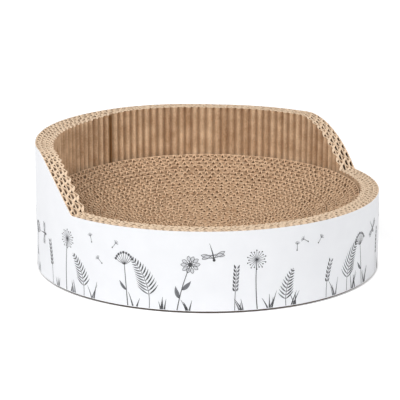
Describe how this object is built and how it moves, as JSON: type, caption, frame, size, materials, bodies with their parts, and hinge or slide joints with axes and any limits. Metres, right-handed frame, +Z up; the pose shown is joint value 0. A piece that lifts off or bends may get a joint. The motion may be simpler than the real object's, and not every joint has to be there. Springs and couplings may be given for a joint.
{
  "type": "cardboard cat scratcher bed",
  "caption": "Round cardboard bed for a cat: corrugated wall in a paper wrap, low at the front and high at the back, with a loose wound corrugated scratch pad, hollowed like a bowl, that lifts out.",
  "frame": {"origin": "middle of the base board's underside, on the axis of the round bed", "axes": "+Z up along the axis of the round bed; -Y out through the middle of the low front"},
  "size_m": [0.41, 0.4108, 0.1505],
  "materials": {
    "base_board": "uncoated brown solid board with a cut edge",
    "wrap_paper": "smooth coated white paper, printed in greys",
    "kraft_liner": "uncoated kraft liner, matt",
    "kraft_flutes": "uncoated fluted kraft, matt, with cut edges",
    "pad_board": "single-face corrugated board on edge, end grain up, matt"
  },
  "bodies": {
    "bed": {"base_board": "base_board", "outer_wrap": "wrap_paper", "wall_liner_1": "kraft_liner", "wall_flutes_1": "kraft_flutes", "wall_liner_2": "kraft_liner", "wall_flutes_2": "kraft_flutes", "wall_liner_3": "kraft_liner", "wall_flutes_3": "kraft_flutes", "wall_liner_4": "kraft_liner", "wall_flutes_4": "kraft_flutes"},
    "scratch_pad": {"pad_strip_1": "pad_board", "pad_strip_2": "pad_board", "pad_strip_3": "pad_board", "pad_core": "pad_board"}
  },
  "joints": [
    {"name": "pad_lift", "type": "slide", "parent": "bed", "child": "scratch_pad", "axis": [0, 0, 1], "range_m": [0, 0.155]}
  ]
}
